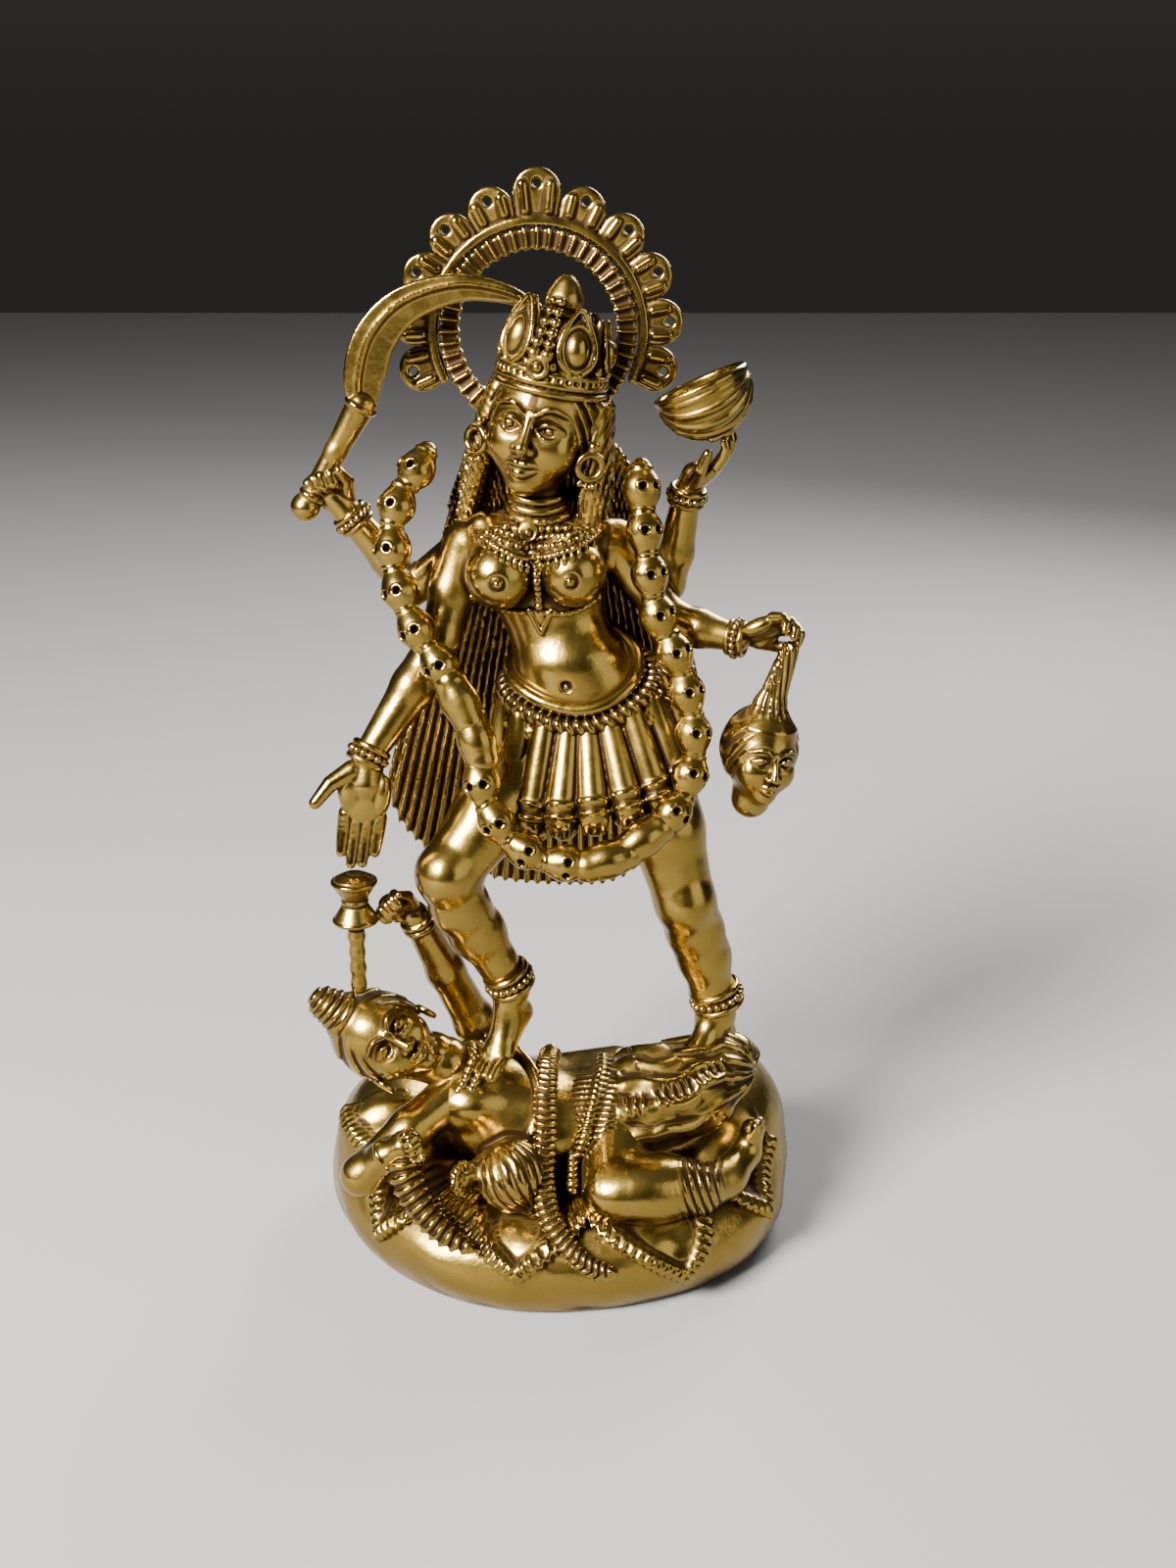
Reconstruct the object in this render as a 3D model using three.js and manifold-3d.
// A small cast brass devotional figurine: a four-armed goddess with one foot on the chest and
// one on the thigh of a reclining figure, who lies across a rounded rock plinth.
// The frame is in millimetres, +Z up, with the origin at the middle of the plinth's flat
// underside. The front faces -Y and +X is on the viewer's right, so the figure's own right is -X.
// Each cast or soldered-on element is one mesh, and 0.35 mm stays clear between neighbours.
import * as THREE from "three";
import { mergeVertices } from "three/addons/utils/BufferGeometryUtils.js";
import Module from "manifold-3d";

const wasm = await Module();
wasm.setup();

// ---- Driving dimensions ----
const TOTAL_HEIGHT = 150;
const PLINTH_WIDTH = 68.8;
const PLINTH_DEPTH = 58;
const PLINTH_HEIGHT = 17.4;
const GAP = 0.35;
const RING_INNER = 10.5;
const RING_OUTER = 13;
const PETAL_FOOT = 14.6;
const HALO_RADIUS = 18.9;
const HALO_PETALS = 11;
const PETAL_STEP = THREE.MathUtils.degToRad(21.5);
const BEAD_COUNT = 23;
const BEAD_RADIUS = 2.4;
const ROUND_SIDES = 8;
const CAP_RINGS = 2;

const UP = new THREE.Vector3(0, 1, 0);
const at = (x, y, z) => new THREE.Vector3(x, y, z);

// ---- Landmarks of the two figures ----
const spot = {
  // standing figure
  pelvis: at(4, 0, 79.5),
  waist: at(1.6, 0, 89),
  chest: at(-2.6, 0.4, 98.5),
  neck: at(-2.8, -0.2, 105),
  skull: at(-2.1, -1, 118),
  crownFoot: at(-1.5, -0.8, 123.8),
  crownTop: at(2.7, -0.2, 135.6),
  rightShoulder: at(-12, 0.6, 102),
  leftShoulder: at(7, 0.8, 102.2),
  rightHip: at(-2.5, -0.5, 73),
  rightKnee: at(-15.3, -11.5, 59.8),
  rightAnkle: at(-6.9, -7.6, 41.5),
  rightHeel: at(-4.6, -6.2, 35.2),
  rightToe: at(-10.6, -12.6, 30.4),
  leftHip: at(12, 0, 73),
  leftKnee: at(17.8, -3.6, 51.5),
  leftAnkle: at(22.8, -0.6, 35.4),
  leftHeel: at(23.8, 0, 30.8),
  leftToe: at(17.4, -7.6, 28.4),
  // arms: sword, bowl, open palm, hair grip
  swordElbow: at(-20.4, 4.2, 95.4),
  swordWrist: at(-28.6, 2.8, 106.8),
  swordFist: at(-31.8, 2, 110.4),
  bowlElbow: at(14.6, 5, 96),
  bowlWrist: at(17.4, 1.8, 110.4),
  bowlPalm: at(20.2, 0.4, 114.2),
  palmElbow: at(-16.6, -2, 90.6),
  palmWrist: at(-26.8, -9, 73.6),
  palmHand: at(-28, -10, 66.2),
  gripElbow: at(14.4, 1.6, 92.6),
  gripWrist: at(25.2, -3.2, 90),
  gripFist: at(30.6, -5.8, 91),
  // reclining figure
  sleeperNeck: at(-17, -10, 28.6),
  sleeperSkull: at(-23.8, -10.2, 34.6),
  sleeperKnot: at(-31, -10.2, 38.4),
  sleeperChest: at(-8.5, -8.4, 21),
  sleeperHips: at(8, -7.4, 19.6),
  sleeperShoulder: at(-18.6, -15.6, 23.4),
  sleeperElbow: at(-27.4, -20.6, 19.4),
  sleeperHand: at(-18.8, -23.4, 23.4),
  sleeperBelly: at(-5.2, -20.4, 17),
  sleeperFoot: at(26.6, -11, 17.2),
  raisedElbow: at(-13, 1.6, 30.6),
  raisedWrist: at(-21.6, -5, 49.6),
  raisedFist: at(-23.6, -7, 53.6),
  staffFoot: at(-27.6, -10, 42.6),
  staffTop: at(-28.2, -10, 58),
};

// ---- From three.js geometry to solids and back ----
function toSolid(geometry, matrix) {
  const bare = (geometry.index ? geometry.toNonIndexed() : geometry.clone());
  bare.deleteAttribute("normal");
  bare.deleteAttribute("uv");
  if (matrix) bare.applyMatrix4(matrix);
  const merged = mergeVertices(bare, 1e-4);
  const corners = [];
  const index = merged.index.array;
  for (let i = 0; i < index.length; i += 3) {
    const [a, b, c] = [index[i], index[i + 1], index[i + 2]];
    if (a !== b && b !== c && c !== a) corners.push(a, b, c);
  }
  return new wasm.Manifold(new wasm.Mesh({
    numProp: 3,
    vertProperties: merged.attributes.position.array,
    triVerts: new Uint32Array(corners),
  }));
}

function toGeometry(solid, origin) {
  const mesh = solid.getMesh();
  const geometry = new THREE.BufferGeometry();
  geometry.setAttribute("position", new THREE.BufferAttribute(mesh.vertProperties, 3));
  geometry.setIndex(new THREE.BufferAttribute(mesh.triVerts, 1));
  geometry.translate(-origin.x, -origin.y, -origin.z);
  geometry.computeVertexNormals();
  return geometry;
}

const join = (solids) => solids.reduce((whole, one) => whole.add(one));

// A matrix that stands a shape's +Y axis along a direction, with its foot at a point.
function stand(foot, direction, scale = at(1, 1, 1)) {
  const turn = new THREE.Quaternion().setFromUnitVectors(UP, direction.clone().normalize());
  return new THREE.Matrix4().compose(foot, turn, scale);
}

// ---- Basic shapes: each takes an allowance that thickens it all round ----
// A round limb from a to b, with rounded ends.
function limb(a, b, radiusA, radiusB, extra = 0, sides = ROUND_SIDES) {
  const low = radiusA + extra;
  const high = radiusB + extra;
  const length = a.distanceTo(b);
  const profile = [];
  for (let i = 0; i <= CAP_RINGS; i++) {
    const turn = (i / CAP_RINGS) * Math.PI / 2;
    profile.push(new THREE.Vector2(low * Math.sin(turn), -low * Math.cos(turn)));
  }
  for (let i = 0; i <= CAP_RINGS; i++) {
    const turn = (i / CAP_RINGS) * Math.PI / 2;
    profile.push(new THREE.Vector2(high * Math.cos(turn), length + high * Math.sin(turn)));
  }
  profile[0].x = 0;
  profile[profile.length - 1].x = 0;
  return toSolid(new THREE.LatheGeometry(profile, sides), stand(a, b.clone().sub(a)));
}

// Limbs end to end through a list of [point, radius].
function chain(stops, extra = 0, sides = ROUND_SIDES) {
  const parts = [];
  for (let i = 0; i + 1 < stops.length; i++) {
    const [a, radiusA] = stops[i];
    const [b, radiusB] = stops[i + 1];
    parts.push(limb(a, b, radiusA, radiusB, extra, sides));
  }
  return join(parts);
}

// An egg with its long axis along a direction: radii across, along and through.
function egg(centre, across, along, through, direction = at(0, 0, 1), extra = 0, sides = 10) {
  const ball = new THREE.SphereGeometry(1, sides, Math.ceil(sides / 2) + 1);
  return toSolid(ball, stand(centre, direction, at(across + extra, along + extra, through + extra)));
}

// A ring of round section about an axis, which can be squashed across its plane.
function hoop(centre, axis, radius, tube, extra = 0, squash = 1, sides = 14) {
  const torus = new THREE.TorusGeometry(radius, tube + extra, 6, sides);
  torus.scale(1, squash, 1);
  torus.rotateX(Math.PI / 2);
  return toSolid(torus, stand(centre, axis));
}

// An outline drawn in the XZ plane and given a thickness, centred on y.
function plate(shape, y, thickness, extra = 0, steps = 6) {
  const depth = thickness + 2 * extra;
  const flat = new THREE.ExtrudeGeometry(shape, { depth, bevelEnabled: false, curveSegments: steps });
  flat.rotateX(Math.PI / 2);
  flat.translate(0, y + depth / 2, 0);
  return toSolid(flat);
}

// ---- Plinth and drapery ----
// The rock mound: an oval lathe with a flat foot, and two humps of rock, one under the standing
// figure's left foot and one under the reclining figure's head.
function mound(extra = 0) {
  const half = PLINTH_WIDTH / 2;
  const steps = [
    [half - 1.6, 0], [half, 3], [half, 7], [half - 2.6, 11], [half - 8.6, 14.4], [half - 19, 16.8],
  ];
  const profile = [new THREE.Vector2(0, -extra)];
  steps.forEach(([r, z]) => profile.push(new THREE.Vector2(r + extra, z + (z ? extra : -extra))));
  profile.push(new THREE.Vector2(0, PLINTH_HEIGHT + extra));
  const lathe = new THREE.LatheGeometry(profile, 20);
  lathe.scale(1, 1, PLINTH_DEPTH / PLINTH_WIDTH);
  lathe.rotateX(Math.PI / 2);
  const underFoot = egg(at(21, 4.4, 13.4), 12.4, 13.2, 13.4, at(0, 0, 1), extra);
  const underHead = egg(at(-24.2, 0.4, 11.4), 9.4, 10.6, 12.6, at(0, 0, 1), extra);
  return join([toSolid(lathe), underFoot, underHead]);
}

// The hide spread over the mound: a skin of the mound inside a saw-toothed outline.
function hide(extra = 0) {
  const teeth = new THREE.Shape();
  const edge = [
    [-33, 20], [-30.2, 15], [-25.2, 6.2], [-20.4, 12.6], [-14.8, 11.4], [-5.6, 5.4], [-1.2, 9.4],
    [4.6, 12.2], [17, 3.4], [24, 13.6], [29, 7.2], [32.8, 14], [30, 22],
  ];
  edge.forEach(([x, z], i) => (i ? teeth.lineTo(x, z) : teeth.moveTo(x, z)));
  const front = plate(teeth, -20, 30);
  const skin = mound(1.5 + extra).intersect(front);
  return extra > 0 ? skin : skin.subtract(mound(GAP));
}

// ---- The reclining figure ----
const sleeperTorso = (extra = 0) => join([
  egg(spot.sleeperBelly, 6, 5.4, 5.2, at(0, 0, 1), extra),
  chain([[spot.sleeperChest, 7.6], [spot.sleeperHips, 7]], extra),
  chain([[at(-16, -12, 23.6), 4.4], [at(-5, -9, 22.6), 6]], extra),
]);
const headAxis = spot.sleeperKnot.clone().sub(spot.sleeperNeck);
const sleeperHead = (extra = 0) => join([
  egg(spot.sleeperSkull, 5.6, 7, 5.4, headAxis, extra),
  limb(at(-15.4, -10, 27.4), at(-20, -10.2, 31), 3, 3, extra),
  limb(at(-29, -10.2, 37.4), at(-32.2, -10.2, 38.8), 3, 2.2, extra),
]);
const sleeperArm = (extra = 0) => chain([
  [spot.sleeperShoulder, 3.6], [spot.sleeperElbow, 3], [spot.sleeperHand, 2.4],
], extra);
const raisedArm = (extra = 0) => chain([
  [spot.raisedElbow, 3], [spot.raisedWrist, 2], [spot.raisedFist, 2.5],
], extra);
const loincloth = (extra = 0) => join([
  egg(at(13, -7, 23.4), 10, 6.4, 9, at(0, 0, 1), extra),
  limb(at(6, -4, 22), at(20, -1.4, 25.6), 5, 5, extra),
]);
const nearLeg = (extra = 0) => chain([
  [at(7, -17.6, 16), 5], [at(14.6, -19.4, 16.4), 5.4], [spot.sleeperFoot, 2.6],
], extra);
const sash = (extra = 0) => chain([
  [at(-1.6, -5, 29.2), 1.5], [at(-1.6, -14.4, 28), 1.5], [at(-1.4, -20, 23), 1.5],
  [at(0.6, -26.6, 12), 1.5], [at(5.6, -28.4, 7.6), 1.3],
], extra, 8);
const serpent = (extra = 0) => chain([
  [at(-20.6, -24.6, 20), 1.9], [at(-17.4, -26.2, 16.4), 2], [at(-13.6, -27, 13), 1.6],
  [at(-10.4, -27.6, 11.2), 1],
], extra, 8);
const beadCollar = (extra = 0) => hoop(at(-14.6, -10, 27.6), headAxis, 4.6, 0.9, extra);

// The staff that the raised fist steadies: a rod with an hourglass drum near its top.
function drumStaff(extra = 0) {
  const { staffFoot, staffTop } = spot;
  const drum = [
    [0, 9], [3, 9], [3, 10.2], [1.4, 12.1], [3, 14], [3, 15.2], [0, 15.2],
  ].map(([r, h]) => new THREE.Vector2(r ? r + extra : 0, h));
  return join([
    limb(staffFoot, staffTop, 1.3, 1, extra),
    toSolid(new THREE.LatheGeometry(drum, 10), stand(staffFoot, staffTop.clone().sub(staffFoot))),
  ]);
}

// ---- The standing figure ----
const torso = (extra = 0) => join([
  egg(spot.chest, 9, 7.6, 5.8, at(0, 0, 1), extra),
  egg(at(-7, -4.4, 99.4), 4, 4.2, 4.4, at(0, 0, 1), extra),
  egg(at(1.7, -4.2, 99.6), 4, 4.2, 4.4, at(0, 0, 1), extra),
  limb(spot.rightShoulder, spot.leftShoulder, 3.4, 3.4, extra),
  chain([[spot.chest, 6.2], [spot.waist, 5.8], [at(3.6, 0, 82), 6.8]], extra),
  egg(spot.pelvis, 10.6, 6.6, 7, at(0, 0, 1), extra),
  limb(spot.neck, at(-2.6, -0.6, 109.4), 2.8, 2.6, extra),
]);
const headLean = spot.crownTop.clone().sub(at(-2.7, -1, 111));
const earring = (x, z, extra) => limb(at(x, -1.6, z), at(x * 1.06, -1.8, z - 4), 1.2, 1.5, extra);
const head = (extra = 0) => join([
  earring(-8.4, 116.2, extra),
  earring(3.9, 115.6, extra),
  egg(spot.skull, 6.2, 7.4, 6.4, headLean, extra),
  egg(at(-3.2, -2.8, 113.6), 4.2, 3.6, 4.4, headLean, extra),
]);
const crownAxis = spot.crownTop.clone().sub(spot.crownFoot);
function crown(extra = 0) {
  const profile = [
    [0, 0], [6.5, 0], [6.8, 1.6], [5.8, 2.4], [5, 5.6], [2.8, 7.6], [2, 11.4], [0, 12.6],
  ].map(([r, h]) => new THREE.Vector2(r ? r + extra : 0, h + (h > 12 ? extra : 0)));
  const tiara = toSolid(new THREE.LatheGeometry(profile, 12), stand(spot.crownFoot, crownAxis));
  const lobe = (x, y, z, r) => egg(at(x, y, z), r, r * 1.6, r, crownAxis, extra, 7);
  return join([tiara, lobe(1.2, -4, 129, 2.3), lobe(-3.6, -3, 129.4, 1.9), lobe(5.4, -1.8, 128.4, 1.9)]);
}

// The loose hair down the back: a cape with a rounded hem, bent round the figure.
const MANTLE_BEND = 44;
const MANTLE_THICKNESS = 3.2;
const MANTLE_BACK = 9.4;
function hairMantle(extra = 0) {
  const cape = new THREE.Shape();
  cape.moveTo(-9, 117);
  cape.quadraticCurveTo(-16, 110, -17.4, 98);
  cape.quadraticCurveTo(-20, 84, -24.4, 70);
  cape.quadraticCurveTo(-27, 55, -13, 51.4);
  cape.quadraticCurveTo(0, 48.6, 12, 51.8);
  cape.quadraticCurveTo(23.4, 57, 23, 74);
  cape.quadraticCurveTo(20, 90, 14, 99);
  cape.quadraticCurveTo(12, 110, 5, 117);
  const sheet = (radius) => {
    const drum = new THREE.CylinderGeometry(radius, radius, 90, 28);
    drum.rotateX(Math.PI / 2);
    drum.translate(0, MANTLE_BACK - MANTLE_BEND, 84);
    return toSolid(drum);
  };
  const shell = sheet(MANTLE_BEND + extra).subtract(sheet(MANTLE_BEND - MANTLE_THICKNESS - extra));
  return plate(cape, 4, 16, extra, 5).intersect(shell);
}

const rightLeg = (extra = 0) => chain([
  [spot.rightHip, 5.4], [spot.rightKnee, 4.4], [at(-12.4, -9.6, 52), 4.2], [spot.rightAnkle, 2.5],
  [spot.rightHeel, 2.4], [spot.rightToe, 1.9],
], extra);
const leftLeg = (extra = 0) => chain([
  [spot.leftHip, 5.6], [spot.leftKnee, 4.4], [at(19.6, -2, 45), 3.9], [spot.leftAnkle, 2.7],
  [spot.leftHeel, 2.6], [spot.leftToe, 2],
], extra);
const swordArm = (extra = 0) => join([
  chain([[at(-13, 2.6, 101), 3], [spot.swordElbow, 2.8], [spot.swordWrist, 2.1]], extra),
  egg(spot.swordFist, 2.9, 4, 2.9, at(-0.4, 0, 1), extra),
]);
const bowlArm = (extra = 0) => chain([
  [at(8, 2.8, 101.4), 3], [spot.bowlElbow, 2.8], [spot.bowlWrist, 2],
  [spot.bowlPalm, 2], [at(24.2, -0.6, 116.4), 1.3],
], extra);
const palmArm = (extra = 0) => chain([
  [spot.rightShoulder, 3.2], [spot.palmElbow, 3], [spot.palmWrist, 2.1],
  [spot.palmHand, 2.3], [at(-28.6, -10.6, 61.4), 1.7],
], extra);
const gripArm = (extra = 0) => chain([
  [spot.leftShoulder, 3.2], [spot.gripElbow, 2.9], [spot.gripWrist, 2], [spot.gripFist, 2.1],
], extra);
const cuff = (wrist, elbow, radius) => (extra = 0) =>
  hoop(wrist.clone().lerp(elbow, 0.12), elbow.clone().sub(wrist), radius, 0.7, extra);
const anklet = (ankle, knee, radius) => (extra = 0) =>
  hoop(ankle.clone().lerp(knee, 0.06), knee.clone().sub(ankle), radius, 0.9, extra);

// ---- What she wears and holds ----
const collar = (extra = 0) => join([
  hoop(at(-2.8, -0.8, 106.2), at(0, -0.42, 1), 5.4, 1.3, extra),
  limb(at(-2.8, -6.2, 104.2), at(-2.7, -8.2, 98.4), 1.5, 0.9, extra, 8),
]);
const belt = (extra = 0) =>
  hoop(at(4.2, -0.4, 83.4), at(-0.2, -0.42, 1), 11.4, 1.5, extra, 0.76, 20);

// The apron of arms: a fan of forearms, hands down, round the front of the hips.
const APRON_ARMS = 12;
function armApron(extra = 0) {
  const first = THREE.MathUtils.degToRad(190);
  const last = THREE.MathUtils.degToRad(350);
  const parts = [];
  for (let i = 0; i < APRON_ARMS; i++) {
    const turn = first + (last - first) * (i / (APRON_ARMS - 1));
    const [side, front] = [Math.cos(turn), Math.sin(turn)];
    const top = at(4.2 + 12.2 * side, -0.6 + 8.6 * front, 80 + 2.2 * side);
    const foot = at(4.8 + 13.6 * side, -1.4 + 11.4 * front, 66.6 + 2.6 * side);
    parts.push(limb(top, foot, 1.9, 2.3, extra, 6));
  }
  return join(parts);
}

// The curved blade: a sickle that sweeps over and tapers towards the crown.
function blade(extra = 0) {
  const sickle = new THREE.Shape();
  sickle.moveTo(-26.4, 122.2);
  sickle.bezierCurveTo(-27.6, 133, -22.4, 137.6, -15.6, 137.6);
  sickle.quadraticCurveTo(-8, 137.2, -2, 133.4);
  sickle.lineTo(-2.6, 132);
  sickle.quadraticCurveTo(-9, 133.8, -13.4, 133.2);
  sickle.bezierCurveTo(-18.4, 132, -20.6, 129, -21.2, 122.8);
  return plate(sickle, 2, 2.2, extra);
}
const grip = (extra = 0) => limb(at(-34.2, 2, 107.4), at(-24.4, 2, 120.4), 1.7, 1.9, extra);

const bowlAxis = at(-0.5, 0.1, 0.86).normalize();
const bowlRim = at(18.9, 0, 123);
const bowlDepth = 6.6;
function skullBowl(extra = 0) {
  const profile = [
    [0, 0], [3.4, 0.7], [5.8, 2.8], [6.9, 6.4],
  ].map(([r, h]) => new THREE.Vector2(r ? r + extra : 0, h - extra));
  const inside = [[5.7, 6.4], [4.7, 3.6], [2.8, 1.9], [0, 1.4]];
  const solidTop = [[0, 6.4 + extra]];
  (extra > 0 ? solidTop : inside).forEach(([r, h]) => profile.push(new THREE.Vector2(r, h)));
  const foot = bowlRim.clone().addScaledVector(bowlAxis, -bowlDepth);
  return toSolid(new THREE.LatheGeometry(profile, 16), stand(foot, bowlAxis));
}

const trophyHead = (extra = 0) => join([
  egg(at(27.4, -6, 75.2), 4.4, 5.4, 4.4, at(-0.12, 0, 1), extra),
  limb(at(30.4, -6, 87.2), at(28.4, -6, 80), 1.2, 3.4, extra),
]);

// The halo stands behind the head: a ribbed ring inside a wreath of petals.
const haloCentre = at(-2.7, 7, 129.6);
function arcBand(inner, outer, from, to) {
  const band = new THREE.Shape();
  band.absarc(haloCentre.x, haloCentre.z, outer, from, to, false);
  band.absarc(haloCentre.x, haloCentre.z, inner, to, from, true);
  return band;
}
const haloRing = (extra = 0) => plate(
  arcBand(RING_INNER - extra, RING_OUTER + extra, THREE.MathUtils.degToRad(-48), THREE.MathUtils.degToRad(228)),
  haloCentre.y, 2.2, extra, 30,
);
// The wreath of petals, drawn as one scalloped outline with a taller petal at the top.
function haloPetals(extra = 0) {
  const half = Math.floor(HALO_PETALS / 2);
  const reach = (half + 0.5) * PETAL_STEP;
  const lobe = [[-0.5, 0], [-0.42, 0.66], [-0.2, 1], [0.2, 1], [0.42, 0.66]];
  const wreath = new THREE.Shape();
  const put = (turn, r, first) => {
    const x = haloCentre.x + r * Math.sin(turn);
    const z = haloCentre.z + r * Math.cos(turn);
    return first ? wreath.moveTo(x, z) : wreath.lineTo(x, z);
  };
  for (let k = 16; k >= 0; k--) put((k / 8 - 1) * reach, RING_OUTER + GAP - extra, k === 16);
  for (let i = -half; i <= half; i++) {
    const tall = (i === 0 ? TOTAL_HEIGHT - haloCentre.z : HALO_RADIUS) - PETAL_FOOT;
    lobe.forEach(([side, out]) => put((i + side) * PETAL_STEP, PETAL_FOOT + out * tall + extra));
  }
  put(reach, PETAL_FOOT + extra);
  return plate(wreath, haloCentre.y, 1.8, extra);
}

// ---- The long garland: beads strung along one loop from shoulder to knee and back ----
const garlandLine = new THREE.CatmullRomCurve3([
  at(-17, 0.6, 114.6), at(-20.8, -2.6, 109), at(-21.6, -5, 102), at(-19, -8, 94), at(-14.4, -10.6, 87),
  at(-10.8, -12.2, 79), at(-9.6, -14.6, 71.6), at(-5, -15.8, 65.4), at(4, -15.8, 63), at(11.6, -13.4, 66),
  at(16.6, -10.4, 71), at(18, -8.4, 78), at(16.2, -6.8, 87), at(13, -5.8, 95), at(11.4, -4.8, 104),
  at(10.8, -2, 113),
]);
function bead(i) {
  const share = (i + 0.5) / BEAD_COUNT;
  const centre = garlandLine.getPointAt(share);
  const along = garlandLine.getTangentAt(share);
  const length = garlandLine.getLength() / BEAD_COUNT - GAP;
  return (extra = 0) => {
    const profile = [[0, 0], [1.5, 0], [BEAD_RADIUS, 0.3], [BEAD_RADIUS, 0.7], [1.5, 1], [0, 1]].map(
      ([r, h]) => new THREE.Vector2(r ? r + extra : 0, (h - 0.5) * (length + 2 * extra)),
    );
    return toSolid(new THREE.LatheGeometry(profile, 8), stand(centre, along));
  };
}

// ---- Finishes ----
const finish = {
  polished: { color: 0xc79a3f, roughness: 0.28, metalness: 1 },
  chased: { color: 0xb98a35, roughness: 0.36, metalness: 1 },
  cast: { color: 0xa97f35, roughness: 0.42, metalness: 1 },
};

// ---- Assembly: what is listed later is cut back from what is listed earlier ----
const figurine = new THREE.Group();
figurine.name = "figurine";
const groups = {};
["plinth", "reclining_figure", "standing_figure", "ornaments"].forEach((name) => {
  groups[name] = new THREE.Group();
  groups[name].name = name;
  figurine.add(groups[name]);
});

const list = [
  ["standing_torso", torso, "polished", "standing_figure"],
  ["standing_head", head, "polished", "standing_figure"],
  ["waist_belt", belt, "chased", "ornaments"],
  ["arm_apron", armApron, "chased", "ornaments"],
  ["crown", crown, "chased", "ornaments"],
  ["sword_grip", grip, "polished", "ornaments"],
  ["sword_blade", blade, "polished", "ornaments"],
  ["skull_bowl", skullBowl, "polished", "ornaments"],
  ["sword_bracelet", cuff(spot.swordWrist, spot.swordElbow, 3.1), "chased", "ornaments"],
  ["bowl_bracelet", cuff(spot.bowlWrist, spot.bowlElbow, 3.1), "chased", "ornaments"],
  ["palm_bracelet", cuff(spot.palmWrist, spot.palmElbow, 3.2), "chased", "ornaments"],
  ["grip_bracelet", cuff(spot.gripWrist, spot.gripElbow, 3.1), "chased", "ornaments"],
  ["right_anklet", anklet(spot.rightAnkle, at(-12.4, -9.6, 52), 3.9), "chased", "ornaments"],
  ["left_anklet", anklet(spot.leftAnkle, at(19.6, -2, 45), 4.1), "chased", "ornaments"],
  ["palm_arm", palmArm, "polished", "standing_figure"],
  ["grip_arm", gripArm, "polished", "standing_figure"],
  ["sword_arm", swordArm, "polished", "standing_figure"],
  ["bowl_arm", bowlArm, "polished", "standing_figure"],
  ["right_leg", rightLeg, "polished", "standing_figure"],
  ["left_leg", leftLeg, "polished", "standing_figure"],
  ["severed_head", trophyHead, "polished", "ornaments"],
  ["necklace_collar", collar, "chased", "ornaments"],
  ...Array.from({ length: BEAD_COUNT }, (_, i) =>
    ["skull_bead_" + String(i + 1).padStart(2, "0"), bead(i), "polished", "ornaments"]),
  ["halo_ring", haloRing, "chased", "ornaments"],
  ["halo_petals", haloPetals, "chased", "ornaments"],
  ["hair_mantle", hairMantle, "cast", "standing_figure"],
  ["drum_staff", drumStaff, "chased", "reclining_figure"],
  ["raised_arm", raisedArm, "polished", "reclining_figure"],
  ["reclining_head", sleeperHead, "polished", "reclining_figure"],
  ["sash", sash, "chased", "reclining_figure"],
  ["near_arm", sleeperArm, "polished", "reclining_figure"],
  ["serpent", serpent, "chased", "reclining_figure"],
  ["bead_collar", beadCollar, "chased", "reclining_figure"],
  ["near_leg", nearLeg, "polished", "reclining_figure"],
  ["reclining_torso", sleeperTorso, "polished", "reclining_figure"],
  ["loincloth", loincloth, "cast", "reclining_figure"],
  ["hide_drape", hide, "cast", "plinth"],
  ["rock_plinth", mound, "cast", "plinth"],
];

const placed = [];
for (const [name, build, look, group] of list) {
  let solid = build();
  const reach = solid.boundingBox();
  for (const other of placed) {
    const apart = [0, 1, 2].some((k) =>
      other.box.min[k] - GAP > reach.max[k] || other.box.max[k] + GAP < reach.min[k]);
    if (!apart) solid = solid.subtract(other.build(GAP));
  }
  const largest = solid.decompose().sort((a, b) => b.volume() - a.volume())[0];
  placed.push({ build, box: largest.boundingBox() });
  const { min, max } = largest.boundingBox();
  const middle = at((min[0] + max[0]) / 2, (min[1] + max[1]) / 2, (min[2] + max[2]) / 2);
  const mesh = new THREE.Mesh(toGeometry(largest, middle), new THREE.MeshStandardMaterial(finish[look]));
  mesh.name = name;
  mesh.position.copy(middle);
  groups[group].add(mesh);
}

export default figurine;
